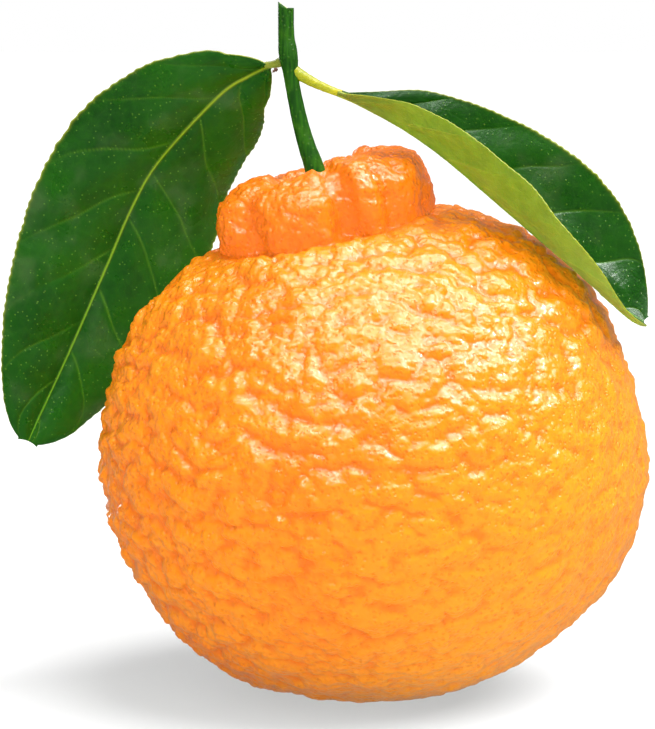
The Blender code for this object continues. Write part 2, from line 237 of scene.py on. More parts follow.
def neck_rise(from_axis, around):
    """How far the neck lifts the rind at these angles from its axis and round it."""
    foot = neck_foot(around)
    tall = np.exp(-((bearing_gap(around, TALL_LOBE_AT) / TALL_LOBE_REACH) ** 4))
    rise = NECK_RISE + TALL_LOBE_RISE * tall - neck_fold(around) * FOLD_TOP_SHARE
    down_wall = np.maximum(from_axis - NECK_SHOULDER, 0) / (foot - NECK_SHOULDER)
    rise *= np.maximum(1 - down_wall**NECK_WALL_STEEPNESS, 0) ** NECK_WALL_ROUNDNESS
    mouth = step((from_axis - HOLLOW_FLOOR_EDGE) / (HOLLOW_RIM - HOLLOW_FLOOR_EDGE))
    groove = bell((from_axis - foot) / NECK_GROOVE_WIDTH)
    return HOLLOW_FLOOR_RISE + (rise - HOLLOW_FLOOR_RISE) * mouth - NECK_GROOVE_DEPTH * groove


def rind_rings():
    """Degrees from the neck's axis to each ring of the rind, which are closer together on the neck."""
    share = np.arange(1, RIND_RINGS) / RIND_RINGS
    neck_end = NECK_FOOT + NECK_GROOVE_WIDTH
    past = (share - NECK_RING_SHARE) / (1 - NECK_RING_SHARE)
    on_neck = neck_end * share / NECK_RING_SHARE
    on_body = neck_end + (180 - neck_end) * past
    return np.where(share < NECK_RING_SHARE, on_neck, on_body)


def rind_grid():
    """The rind's directions, from the hollow down, and their degrees from the neck's axis and round it."""
    around = np.arange(RIND_SEGMENTS) / RIND_SEGMENTS * 360
    from_axis, around = (grid.ravel() for grid in np.meshgrid(rind_rings(), around, indexing="ij"))
    from_axis = np.concatenate([[0.0], from_axis, [180.0]])
    around = np.concatenate([[0.0], around, [0.0]])
    past_neck = step((from_axis - NECK_FOOT) / NECK_FOOT)
    from_axis = from_axis * (1 + (neck_foot(around) / NECK_FOOT - 1) * (1 - past_neck))
    lean = -np.radians(NECK_LEAN * (1 - step((from_axis - LEAN_WHOLE_TO) / LEAN_FADE)))
    plain = heading(np.radians(from_axis), np.radians(around))
    right = plain[:, 0] * np.cos(lean) + plain[:, 2] * np.sin(lean)
    up = plain[:, 2] * np.cos(lean) - plain[:, 0] * np.sin(lean)
    return np.stack([right, plain[:, 1], up], -1), from_axis, around


def grid_faces(rings, segments):
    """The faces of a closed grid: point 0, then the rings, then one last point."""
    places = np.meshgrid(np.arange(rings - 2), np.arange(segments), indexing="ij")
    ring, column = (grid.ravel() for grid in places)
    after = (column + 1) % segments
    first, second = 1 + ring * segments, 1 + (ring + 1) * segments
    quads = np.stack([first + column, second + column, second + after, first + after], -1)
    edge = np.arange(segments)
    last = 1 + (rings - 1) * segments
    top = np.stack([np.zeros(segments, int), 1 + edge, 1 + (edge + 1) % segments], -1)
    low = 1 + (rings - 2) * segments
    bottom = np.stack([np.full(segments, last), low + (edge + 1) % segments, low + edge], -1)
    return quads.tolist() + top.tolist() + bottom.tolist()


def plain_rind(ways, from_axis, around):
    """The rind without its lumps."""
    radius = body_radius(ways) + np.where(from_axis < 90, neck_rise(from_axis, around), 0)
    points = CENTRE + ways * radius[:, None]
    points[:, 2] = np.maximum(points[:, 2], 0)
    return points


# ---- the skin's lumps, with sizes and heights in mm
NECK_EDGE = 3  # degrees over which the body's skin turns into the neck's
# Towards the lower right the skin is also painted lighter and yellower, as lit.
SMOOTH_WAY = np.array((0.75, -0.1, -0.55))  # the skin is smoother towards the lower right
SMOOTH_FROM = -0.1
SMOOTH_FADE = 0.9
BEND_SIZE = 9
BEND_SEEDS = (11, 23, 37)
LUMP_BEND = 2.2
MOUNDS = (  # lumps, knobs, warts, beads and ridges: how far their rows bend, size, seed
    (LUMP_BEND, (6.0, 6.0, 3.7), 101),
    (0.8, (2.4, 2.4, 1.9), 211),
    (1.2, (4.6, 4.6, 3.6), 251),
    (0.0, (1.4, 1.4, 1.25), 307),
    (LUMP_BEND, (7.0, 7.0, 2.5), 401),
)
KNOB_HEIGHT = 0.52
WART_HEIGHT = 0.9
BEAD_HEIGHT = 0.26
RIDGE_HEIGHT = 0.7
FOLD_SIZE = (7.0, 7.0, 3.2)
FOLD_HEIGHT = 0.45
BELT_AT = 0.45  # the height of the ridges' belt, from 0 at the fruit's middle to 1 at its top
BELT_WIDTH = 0.3
BELT_PATCH_SIZE = 22
SUNKEN_WARTS = 0.25  # the share of the warts that are dents
SWELL_SIZE = 15
SWELL_HEIGHT = 0.3
PIT_SPACING = 2.9
PIT_RADIUS = 0.55
PIT_DEPTH = 0.2
MISSING_PITS = 0.3  # the share of the pits that are left out
MEAN_LUMP_HEIGHT = 0.8
MEAN_BEAD_HEIGHT = 0.12
NECK_FOLD_EXTRA = 0.8
NECK_FOLD_WHOLE = 1.3 * MM  # the depth at which a fold is drawn in by the whole extra
NECK_FOLD_FROM = 5
NECK_FOLD_FADE = 6
REST_FADE_RADIUS = 1.7 * REST_RADIUS
REST_FADE_FROM = 0.35
REST_FADE_HEIGHT = 10 * MM


def skin_kinds(ways, from_axis):
    """How smooth the skin is, which is also where it is painted lighter as lit, and how far it is the neck's:
    0 to 1 each.
    """
    neck = 1 - step((from_axis - NECK_FOOT) / NECK_EDGE)
    smooth_and_lit = step((ways @ SMOOTH_WAY - SMOOTH_FROM) / SMOOTH_FADE) * (1 - neck)
    return smooth_and_lit, neck


def rind_relief(points, ways, from_axis, around, smooth_and_lit, neck):
    """How far the skin stands out from the plain rind."""
    place = points / MM
    bend = np.stack([waves(place / BEND_SIZE, seed) for seed in BEND_SEEDS], -1)
    made = [mounds((place + far * bend) / size, seed) for far, size, seed in MOUNDS]
    (lumps, lump_number), (knobs, knob_number), (warts, wart_number) = made[:3]
    (beads, bead_number), (ridges, _) = made[3:]
    folds = np.abs(waves((place + LUMP_BEND * bend) / FOLD_SIZE, 151))
    belt = bell((ways[:, 2] - BELT_AT) / BELT_WIDTH)
    belt = belt * (0.6 + 0.5 * waves(place / BELT_PATCH_SIZE, 409))
    swell = waves(place / SWELL_SIZE, 503)
    pits, _, pit_number = cells(place / PIT_SPACING, 601)
    pitted = bell(pits * PIT_SPACING / PIT_RADIUS) * (pit_number > MISSING_PITS)

    rough = (1 - 0.58 * smooth_and_lit) * (1 - 0.45 * neck)
    height = lumps * (0.5 + lump_number) + FOLD_HEIGHT * folds
    height += KNOB_HEIGHT * knobs * (0.4 + knob_number) + RIDGE_HEIGHT * belt * ridges
    height *= rough
    height += WART_HEIGHT * neck * warts * (wart_number - SUNKEN_WARTS)
    height += BEAD_HEIGHT * beads * (0.3 + bead_number) * (1 - 0.4 * smooth_and_lit)
    height += SWELL_HEIGHT * swell
    height -= PIT_DEPTH * pitted * (0.2 + 0.8 * smooth_and_lit)
    height -= MEAN_LUMP_HEIGHT * rough + MEAN_BEAD_HEIGHT
    below_rim = step((from_axis - NECK_FOLD_FROM) / NECK_FOLD_FADE)
    height -= NECK_FOLD_EXTRA * neck * step(neck_fold(around) / NECK_FOLD_WHOLE) * below_rim

    from_middle = np.hypot(points[:, 0], points[:, 1])
    off_flat_spot = step(from_middle / REST_FADE_RADIUS - REST_FADE_FROM)
    off_flat_spot = np.where(points[:, 2] > REST_FADE_HEIGHT, 1, off_flat_spot)
    return height * MM * off_flat_spot


def blurred(values, reach):
    """Values at the rind's points, averaged with their neighbours this many steps along and round."""
    rings = values[1:-1].reshape(RIND_RINGS - 1, RIND_SEGMENTS)
    window = 2 * reach + 1
    for _ in range(2):
        rings = sum(np.roll(rings, shift, axis=1) for shift in range(-reach, reach + 1)) / window
        padded = np.pad(rings, ((reach, reach), (0, 0)), mode="edge")
        rings = sum(padded[shift : shift + RIND_RINGS - 1] for shift in range(window)) / window
    return np.concatenate([values[:1], rings.ravel(), values[-1:]])


# ---- pieces
def fitted(points, plain, node):
    """The points, moved and scaled as the plain shape is to fill its CAD node's box."""
    low, high = (np.array(corner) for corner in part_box(node))
    plain_low, plain_high = plain.min(0), plain.max(0)
    return low + (points - plain_low) * (high - low) / (plain_high - plain_low)


def normals_of(points, faces):
    """The smooth normal at each point of a mesh of quads and triangles."""
    total = np.zeros_like(points)
    faces = np.array([face if len(face) == 4 else (*face, face[2]) for face in faces])
    corners = points[faces]
    across = np.cross(corners[:, 2] - corners[:, 0], corners[:, 3] - corners[:, 1])
    for index in range(4):
        np.add.at(total, faces[:, index], across)
    return total / np.maximum(norm(total, axis=1, keepdims=True), TINY)


def outward(points, faces):
    """The faces, turned round if they face inwards."""
    quads = np.array([face if len(face) == 4 else (*face, face[2]) for face in faces])
    corners = points[quads] - points.mean(0)
    volume = np.einsum("ij,ij->i", corners[:, 0], np.cross(corners[:, 1], corners[:, 2])).sum()
    volume += np.einsum("ij,ij->i", corners[:, 0], np.cross(corners[:, 2], corners[:, 3])).sum()
    return faces if volume > 0 else [face[::-1] for face in faces]


def add(name, data, where=(0, 0, 0), way=None):
    """A new object in the scene, with its +Z along this way."""
    made = bpy.data.objects.new(name, data)
    made.location = where
    if way is not None:
        made.rotation_euler = way.to_track_quat("Z", "Y").to_euler()
    bpy.context.scene.collection.objects.link(made)
    return made


def pushed_out(points, faces, height):
    """The mesh's points, moved out along their normals by this height in mm."""
    return points + normals_of(points, faces) * height[:, None] * MM


def new_piece(node, slot, points, faces, materials, side=None, **painted):
    """A smooth mesh that stands for this CAD node, with the painted values at its points."""
    mesh = bpy.data.meshes.new(node)
    mesh.from_pydata(points.tolist(), [], faces)
    for material in materials:
        mesh.materials.append(material)
    if side is not None:
        mesh.polygons.foreach_set("material_index", side)
    for name, values in painted.items():
        mesh.attributes.new(name, "FLOAT", "POINT").data.foreach_set("value", values.astype(np.float32))
    mesh.shade_smooth()
    mesh.validate()
    piece = add(node + "_skin", mesh)
    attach(piece, "root")
    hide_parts(node)
    return piece


CREASE_BLUR = 4
CREASE_DEPTH = 0.4 * MM
FOOT_CREASE_WIDTH = 2.0
FOLD_CREASE_DEPTH = 1.1 * MM
FOLD_CREASE_FADE = 8


def painted_crease_shade(height, neck, from_axis, around):
    """Where the rind is drawn in, which the material paints darker and redder as shade: between its lumps, at
    the neck's foot and in the neck's folds.
    """
    between = step((blurred(height, CREASE_BLUR) - height) / CREASE_DEPTH)
    foot = bell((from_axis - neck_foot(around)) / FOOT_CREASE_WIDTH)
    below_rim = step((from_axis - HOLLOW_RIM) / FOLD_CREASE_FADE)
    fold = step(neck_fold(around) / FOLD_CREASE_DEPTH) * neck * below_rim
    return np.maximum(between, np.maximum(foot, fold))


def make_fruit(material):
    """The rind. It lights nothing else, so that the floor's shadow stays grey."""
    ways, from_axis, around = rind_grid()
    faces = grid_faces(RIND_RINGS, RIND_SEGMENTS)
    plain = plain_rind(ways, from_axis, around)
    smooth_and_lit, neck = skin_kinds(ways, from_axis)
    height = rind_relief(plain, ways, from_axis, around, smooth_and_lit, neck)
    crease_shade = painted_crease_shade(height, neck, from_axis, around)
    points = plain + normals_of(plain, faces) * height[:, None]
    points[:, 2] = np.maximum(points[:, 2], 0)
    points = fitted(points, plain, "fruit")
    painted = {"crease_shade": crease_shade, "smooth_and_lit": smooth_and_lit, "neck": neck}
    fruit = new_piece("fruit", "rind", points, faces, [material], **painted)
    fruit.visible_diffuse = False


# ---- calyx, stem, stalks and bud: shapes as in the CAD, and their grain
TOUCHING = 0.3 * MM
CALYX_RADIUS = 3.1 * MM
CALYX_HEIGHT = 1.5 * MM
CALYX_LOBES = 5
CALYX_LOBE_DEPTH = 0.16
CALYX_RINGS = 26
CALYX_SIDES = 120
CALYX_PROFILE_AT = (0, 0.2, 0.35, 0.5, 0.62, 0.8, 1)
CALYX_PROFILE_OUT = (0.3, 0.8, 1.0, 0.96, 0.82, 0.5, 0.05)
CALYX_PROFILE_UP = (0.0, 0.08, 0.4, 0.7, 0.88, 0.98, 1.0)
CALYX_GRAIN = ((0.1, 0.8, 701), (0.06, 0.35, 709))  # height and size in mm, seed
STEM_COURSE = ((0.0, 0.0), (0.0, 3.4), (-2.1, 10.0), (-3.5, 16.0), (-4.4, 21.6), (-5.0, 26.5), (-5.1, 31.85))
STEM_RADIUS = 1.22 * MM
STEM_FOOT_FLARE = 0.9 * MM
STEM_FOOT_REACH = 7.0 * MM
STEM_TOP_RADIUS = 1.36 * MM
NODE_HEIGHT = 23.4 * MM
NODE_SWELL = 0.42 * MM
NODE_REACH = 2.0 * MM
CUT_SLANT = 36
STEM_RINGS = 300
STEM_SIDES = 60
STEM_GRAIN = ((0.07, (1.0, 1.0, 9.0), 801), (0.03, (0.4, 0.4, 1.6), 809))
COLLAR_DROP = 0.6
COLLAR_WIDTH = 0.35
COLLAR_GRAIN = ((0.12, 0.9, 811),)
CUT_RINGS = 6
CUT_GRAIN = ((0.16, 0.5, 821),)
CUT_RIM = 0.9
LEFT_STALK = {"drop": 0.4 * MM, "length": 2.0 * MM, "heading": (-0.70, 0.64, -0.28), "radius": 0.82 * MM}
RIGHT_STALK = {"drop": 2.2 * MM, "length": 6.6 * MM, "heading": (0.87, -0.02, -0.50), "radius": 0.95 * MM}
STALK_TIP_SHARE = 0.68
STALK_LIFT = 0.1
STALK_SET_OUT = 0.62
STALK_INTO_STEM = 1.9 * MM
STALK_INTO_BLADE = 1.0 * MM
STALK_FLARE = 0.2 * MM
STALK_FLARE_REACH = 1.2 * MM
STALK_RINGS = 90
STALK_SIDES = 36
STALK_GRAIN = ((0.05, (1.6, 0.5, 0.5), 901), (0.03, 0.45, 907))
BUD_LENGTH = 1.15 * MM
BUD_RADIUS = 0.33 * MM
BUD_DROP = 0.5 * MM
BUD_HEADING = (-0.75, -0.35, -0.56)
BUD_RINGS = 60
BUD_SIDES = 30
BUD_SCALES = 3
BUD_SCALE_HEIGHT = 0.06


def smooth_course(points, shares):
    """Points at these shares of a smooth curve through the given ones."""
    points = [Vector(point) for point in points]
    fine = []
    for index in range(len(points) - 1):
        before = points[max(index - 1, 0)]
        after = points[min(index + 2, len(points) - 1)]
        start, end = points[index], points[index + 1]
        knots = (start, start + (end - before) / 6, end - (after - start) / 6, end)
        fine += interpolate_bezier(*knots, 16)[bool(fine) :]
    fine = np.array(fine)
    lengths = np.concatenate([[0], np.cumsum(norm(np.diff(fine, axis=0), axis=1))])
    wanted = np.asarray(shares) * lengths[-1]
    return np.stack([np.interp(wanted, lengths, fine[:, axis]) for axis in range(3)], -1)


def tangents(points):
    return unit(np.gradient(points, axis=0))


def calyx_seat():
    """The middle of the calyx's underside, just above the hollow."""
    floor = body_radius(NECK_AXIS[None])[0] + neck_rise(np.zeros(1), np.zeros(1))[0]
    return CENTRE + NECK_AXIS * (floor + TOUCHING)


def stem_course(count):
    """The stem's middle line, from just above the calyx."""
    foot = calyx_seat() + NECK_AXIS * (CALYX_HEIGHT + TOUCHING)
    course = [foot + np.array((right * MM, 0, up * MM)) for right, up in STEM_COURSE]
    return smooth_course(course, np.linspace(0, 1, count))


def stem_radius(above_foot):
    """The stem's radius this far up, flared at its foot and swollen at the leaves' node."""
    flare = STEM_FOOT_FLARE * np.exp(-above_foot / STEM_FOOT_REACH)
    swell = NODE_SWELL * bell((above_foot - NODE_HEIGHT) / NODE_REACH)
    widened = (STEM_TOP_RADIUS - STEM_RADIUS) * step((above_foot - NODE_HEIGHT) / NODE_REACH)
    return STEM_RADIUS + widened + flare + swell


def stem_at(above_foot):
    """The point of the stem's middle line this far above its foot."""
    points = stem_course(200)
    above = points[:, 2] - points[0, 2]
    return np.array([np.interp(above_foot, above, points[:, axis]) for axis in range(3)])


def stalk_root(drop, way):
    """Where a stalk or bud leaves the stem, clear of its bark."""
    height = NODE_HEIGHT - drop
    return stem_at(height) + way * (stem_radius(height) + TOUCHING) / np.hypot(way[0], way[1])


def stalk_course(stalk, count, before=0.0, past=0.0):
    """The stalk's middle line, longer than in the CAD by these shares of its length before and past it."""
    way = unit(np.array(stalk["heading"]))
    root = stalk_root(stalk["drop"], way) + way * stalk["radius"] * STALK_SET_OUT
    share = np.linspace(-before, 1 + past, count)[:, None]
    lift = np.array((0, 0, STALK_LIFT * stalk["length"]))
    return root + way * stalk["length"] * share + lift * share**2


def tube(points, radii, sides, slant=0.0, foot_way=None):
    """A closed shoot: its points, its faces, and how far along and out each point is."""
    ways = tangents(points)
    if foot_way is not None:
        ways[0] = foot_way
    side = unit(np.cross((0.0, 1.0, 0.0), ways))
    other = np.cross(ways, side)
    turn = np.arange(sides) / sides * 2 * pi
    count = len(points)
    spread = np.cos(turn)[None, :, None] * side[:, None] + np.sin(turn)[None, :, None] * other[:, None]
    rings = points[:, None] + np.broadcast_to(radii, (count, sides))[..., None] * spread
    rings[-1, :, 2] -= (rings[-1, :, 0] - points[-1, 0]) * np.tan(radians(slant))

    middle = rings[-1].mean(0)
    cut_shares = [1 - (ring + 1) / (CUT_RINGS + 1) for ring in range(CUT_RINGS)]
    cut = [middle + (rings[-1] - middle) * share for share in cut_shares]
    body = np.concatenate([points[:1], rings.reshape(-1, 3), *cut, middle[None]])
    shares = np.repeat(np.linspace(0, 1, count), sides)
    along = np.concatenate([[0], shares, np.ones(sides * CUT_RINGS + 1)])
    out = np.concatenate([[0], np.ones(count * sides), np.repeat(cut_shares, sides), [0]])
    return body, grid_faces(count + CUT_RINGS + 1, sides), along, out


def make_calyx(material):
    """A low five-lobed button, ribbed and wrinkled, turned about the neck's axis."""
    share = np.linspace(0, 1, CALYX_RINGS)
    profile_out = np.interp(share, CALYX_PROFILE_AT, CALYX_PROFILE_OUT)[:, None]
    profile_up = np.interp(share, CALYX_PROFILE_AT, CALYX_PROFILE_UP)[:, None]
    turn = np.arange(CALYX_SIDES) / CALYX_SIDES * 2 * pi
    lobes = 1 - CALYX_LOBE_DEPTH * profile_out * (1 - np.cos(CALYX_LOBES * turn)) / 2
    radius = CALYX_RADIUS * profile_out * lobes
    up = np.broadcast_to(CALYX_HEIGHT * profile_up, radius.shape)
    back = np.array((0.0, 1.0, 0.0))
    base = calyx_seat()
    points = base + radius[..., None] * (np.cos(turn)[:, None] * NECK_RIGHT + np.sin(turn)[:, None] * back)
    points = (points + up[..., None] * NECK_AXIS).reshape(-1, 3)
    points = np.concatenate([base[None], points, (base + NECK_AXIS * CALYX_HEIGHT)[None]])
    faces = outward(points, grid_faces(CALYX_RINGS + 1, CALYX_SIDES))
    wrinkled = pushed_out(points, faces, grain(points, CALYX_GRAIN))
    new_piece("calyx", "calyx_green", fitted(wrinkled, points, "calyx"), faces, [material])


def make_stem(bark, pith):
    """The stem, ridged and grained, with a collar at the leaves' node and a slanted, torn cut."""
    course = stem_course(STEM_RINGS)
    radii = stem_radius(course[:, 2] - course[0, 2])[:, None]
    points, faces, along, out = tube(course, radii, STEM_SIDES, CUT_SLANT, NECK_AXIS)
    faces = outward(points, faces)
    above_node = points[:, 2] / MM - course[0, 2] / MM - NODE_HEIGHT / MM
    collar = bell((above_node + COLLAR_DROP) / COLLAR_WIDTH)
    ridges = grain(points, STEM_GRAIN) + collar * grain(points, COLLAR_GRAIN)
    cut = (along == 1) & (out < 1)
    grained = pushed_out(points, faces, np.where(cut, 0, ridges))
    grained[:, 2] += grain(points, CUT_GRAIN) * cut * MM
    face_along = np.array([np.mean([along[corner] for corner in face]) for face in faces])
    face_out = np.array([np.mean([out[corner] for corner in face]) for face in faces])
    side = ((face_along == 1) & (face_out < CUT_RIM)).astype(int)
    grained = fitted(grained, points, "stem")
    new_piece("stem", "green_bark", grained, faces, [bark, pith], side, along=along, out=out)


def make_stalk(node, stalk, material):
    """A leaf's stalk, carried on into the stem's bark and the blade's base."""
    share = np.linspace(0, 1, STALK_RINGS)
    taper = stalk["radius"] * (1 - (1 - STALK_TIP_SHARE) * step(share))
    plain = tube(stalk_course(stalk, STALK_RINGS), taper[:, None], STALK_SIDES)[0]
    before = STALK_INTO_STEM / stalk["length"]
    past = STALK_INTO_BLADE / stalk["length"]
    course = stalk_course(stalk, STALK_RINGS, before, past)
    flare = STALK_FLARE * np.exp(-share * (stalk["length"] + STALK_INTO_STEM) / STALK_FLARE_REACH)
    points, faces, along, _ = tube(course, (taper + flare)[:, None], STALK_SIDES)
    faces = outward(points, faces)
    ridged = pushed_out(points, faces, grain(points, STALK_GRAIN))
    new_piece(node, "stalk_green", fitted(ridged, plain, node), faces, [material], along=along)


def make_bud(material):
    """A scaly pointed bud."""
    way = unit(np.array(BUD_HEADING))
    share = np.linspace(0, 1, BUD_RINGS)
    course = stalk_root(BUD_DROP, way) + way * BUD_RADIUS + way * BUD_LENGTH * share[:, None]
    radii = BUD_RADIUS * (1 - 0.8 * np.interp(share, (0, 0.2, 1), (0.1, 0, 1)) ** 1.5)
    points, faces, _, _ = tube(course, radii[:, None], BUD_SIDES)
    faces = outward(points, faces)
    from_root = norm(points - course[0], axis=1) / BUD_LENGTH
    scales = BUD_SCALE_HEIGHT * np.sin(from_root * BUD_SCALES * 2 * pi)
    scaly = pushed_out(points, faces, scales)
    new_piece("axil_bud", "bud_scale", fitted(scaly, points, "axil_bud"), faces, [material])


# ---- the leaves: shapes as in the CAD, and their relief
LEAF_STATIONS = (0.0, 0.12, 0.3, 0.5, 0.7, 0.86, 1.0)
LEAF_THICKNESS = 0.5 * MM
LEAF_CLEARANCE = 1.0 * MM
LEAF_BASE_HALF_WIDTH = 0.75 * MM
LEAF_TIP_SHARE = 0.11
LEAF_BASE_FILL = 0.6
LEAF_BASE_REACH = 0.2
STATION_EASE = 0.05
LEFT_LEAF = {
    "reach": 81.5 * MM,
    "half_width": 17.6 * MM,
    "widest": 0.49,
    "taper": 0.52,
    "course": (
        (0.0, 0.0, 0.0), (-0.046, 0.047, -0.025), (-0.111, 0.083, -0.071),
        (-0.243, 0.139, -0.215), (-0.305, 0.160, -0.320), (-0.361, 0.175, -0.447),
        (-0.456, 0.172, -0.661), (-0.541, 0.151, -0.842),
    ),
    "turns": ((-60, -67, -73, -69, -65, -62, -68), (88, 114, 121, 100, 101, 104, 100)),
    "curls": (-14, 20),
    "veins": 7,
}
RIGHT_LEAF = {
    "reach": 68.5 * MM,
    "half_width": 14.1 * MM,
    "widest": 0.62,
    "taper": 0.56,
    "course": (
        (0.0, 0.0, 0.0), (0.069, -0.028, -0.026), (0.169, -0.061, -0.078),
        (0.272, -0.088, -0.150), (0.410, -0.112, -0.266), (0.534, -0.121, -0.372),
        (0.694, -0.107, -0.512), (0.770, -0.091, -0.574),
    ),
    "turns": ((26, 23, 20, 14, 4, -5, -13), (120, 114, 111, 109, 111, 121, 132)),
    "curls": (22, -22),
    "veins": 6,
}
LEAF_ROWS = 330
LEAF_HALF_COLUMNS = 66
LEAF_ROW_BUNCHING = 0.4  # how far the rows draw together at the blade's base and tip
SKIN_CLEARANCE = 0.75 * MM
NOTCH_DEPTH = 0.4 * MM
NOTCH_REACH = 1.1 * MM
SCALLOP_SHARE = 0.006  # of the blade's half-width, as is the next
SCALLOP_WAVER_SHARE = 0.012
SCALLOP_TURNS = 330  # radians of scallops along the blade
SCALLOP_WAVER_SIZE = 2.2 * MM
# The rest are in mm.
VEIN_WANDER_SIZE = 12
VEIN_PATCH_SIZE = 16
VEIN_HALF_WIDTH = 0.17
VEIN_DEPTH = 0.14
RIB_TIP_HALF_WIDTH = 0.10
RIB_BASE_EXTRA = 0.16
RIB_HEIGHT = 0.2
VALLEY_HALF_WIDTH = 1.5
VALLEY_DEPTH = 0.28
NET_SIZE = 2.6
NET_LINE_SHARE = 0.09
NET_DEPTH = 0.04
QUILT_HEIGHT = 0.42
PUCKER_SIZE = 8.5
PUCKER_HEIGHT = 0.5
KEEL_HALF_WIDTH = 0.7
KEEL_DEPTH = 0.4


def blade_half_width(share, leaf):
    """Half the blade's width at these shares of its length: an oval, blunt at its tip."""
    bend = log(0.5) / log(leaf["widest"])
    oval = np.maximum(np.sin(pi * share**bend), 0) ** leaf["taper"]
    oval *= LEAF_BASE_FILL + (1 - LEAF_BASE_FILL) * step(share / LEAF_BASE_REACH)
    least = np.where(share > 0.5, leaf["half_width"] * LEAF_TIP_SHARE, LEAF_BASE_HALF_WIDTH)
    return np.maximum(leaf["half_width"] * oval, least)


def between_stations(values, share):
    """The values at these shares of the midrib, eased between its stations."""
    places = (np.clip(share + shift, 0, 1) for shift in (-STATION_EASE, 0.0, STATION_EASE))
    return sum(np.interp(place, LEAF_STATIONS, values) for place in places) / 3


def clear_of_fruit(points, clearance):
    """The points, moved out where they would come nearer than this to the plain rind."""
    away = points - CENTRE
    reach = norm(away, axis=-1, keepdims=True)
    ways = away / reach
    level = ways @ NECK_RIGHT
    around = np.degrees(np.arctan2(ways[..., 1], level))
    from_axis = np.degrees(angle_between(ways, NECK_AXIS))
    rind = body_radius(ways) + np.where(from_axis < 90, neck_rise(from_axis, around), 0)
    return CENTRE + ways * np.maximum(reach, (rind + clearance)[..., None])


def blade_base(stalk, first_way):
    """Where a blade starts, clear of its stalk's whole end face."""
    course = stalk_course(stalk, 5)
    way = tangents(course)[-1]
    lean = angle_between(way[None], first_way)[0]
    return course[-1] + way * (TOUCHING + stalk["radius"] * STALK_TIP_SHARE * sin(lean))


def blade_grid(leaf, stalk):
    """The blade's middle surface: points, rows' shares, columns' places, and rows' half-widths and ways."""
    course = np.array(leaf["course"])
    first_way = unit(course[1])
    course = blade_base(stalk, first_way) + course * leaf["reach"]
    bunched = (1 - np.cos(np.linspace(0, pi, LEAF_ROWS))) / 2
    share = bunched * LEAF_ROW_BUNCHING + np.linspace(0, 1, LEAF_ROWS) * (1 - LEAF_ROW_BUNCHING)
    spine = smooth_course(course, share)
    along = tangents(spine)
    front = unit(np.array((0.0, -1.0, 0.0)) - along * (-along[:, 1:2]))
    right = np.cross(front, along)
    column = np.linspace(-1, 1, 2 * LEAF_HALF_COLUMNS + 1)
    out = np.abs(column)
    turns = [between_stations(values, share) for values in leaf["turns"]]
    left_turn = turns[0][:, None] + leaf["curls"][0] * (out - 0.5)
    right_turn = turns[1][:, None] + leaf["curls"][1] * (out - 0.5)
    turn = np.radians(np.where(column > 0, right_turn, left_turn))[..., None]
    width = blade_half_width(share, leaf)
    sideways = np.cos(turn) * front[:, None] + np.sin(turn) * right[:, None]
    points = spine[:, None] + (width[:, None] * out)[..., None] * sideways
    return points, share, column, width, along


def scalloped(plain, share, out, along, leaf):
    """The blade's points with a notched tip and an uneven, scalloped edge."""
    scallop = SCALLOP_SHARE * np.sin(share * SCALLOP_TURNS)
    scallop += SCALLOP_WAVER_SHARE * waves(plain[:, 0] / SCALLOP_WAVER_SIZE, 1301)
    notch = NOTCH_DEPTH * np.exp(-(1 - share) * leaf["reach"] / NOTCH_REACH)
    points = plain - (notch[:, None] * (1 - out**2))[..., None] * along[:, None]
    midrib = points[:, LEAF_HALF_COLUMNS : LEAF_HALF_COLUMNS + 1]
    return points + (points - midrib) * (scallop[:, None] * out**6)[..., None]


def blade_marks(points, share, column, from_rib, leaf):
    """Where the midrib, the side veins and the fine net are, and where the blade bulges between them."""
    out = np.abs(column)
    shape = points.shape[:2]
    place = points.reshape(-1, 3) / MM
    wander = waves(place / VEIN_WANDER_SIZE, 1001).reshape(shape)
    phase = share[:, None] - (0.14 * out + 0.04 * out**3) + 0.03 * wander
    phase = phase * leaf["veins"] + np.where(column > 0, 0.5, 0.0)
    apart = np.abs(phase - np.round(phase)) * leaf["reach"] / leaf["veins"] * 0.8 / MM
    patches = step(0.9 + 1.2 * waves(place / VEIN_PATCH_SIZE, 1051)).reshape(shape)
    vein = bell(apart / VEIN_HALF_WIDTH) * step(out * 14) * (1 - 0.9 * out**3) * patches
    rib_half_width = RIB_TIP_HALF_WIDTH + RIB_BASE_EXTRA * (1 - share[:, None]) ** 2
    rib = bell(from_rib / rib_half_width)
    near, second, _ = cells(place / NET_SIZE, 1101)
    net = np.exp(-(second - near) / NET_LINE_SHARE).reshape(shape)
    bulge = np.abs(np.sin(pi * phase)) ** 0.8 * step(out * 3) * (1 - out**5)
    return rib, vein, net, bulge


def blade_relief(points, share, out, from_rib, marks):
    """How far the blade stands out from its plain middle surface."""
    rib, vein, net, bulge = marks
    pucker = waves(points.reshape(-1, 3) / MM / PUCKER_SIZE, 1201).reshape(rib.shape)
    relief = QUILT_HEIGHT * (bulge - 0.5) + PUCKER_HEIGHT * pucker * step(out * 2)
    relief -= VEIN_DEPTH * vein + NET_DEPTH * net
    relief += RIB_HEIGHT * rib - VALLEY_DEPTH * bell(from_rib / VALLEY_HALF_WIDTH)
    return relief * step(share * 9)[:, None] * step((1 - share) * 12 + 0.2)[:, None] * MM


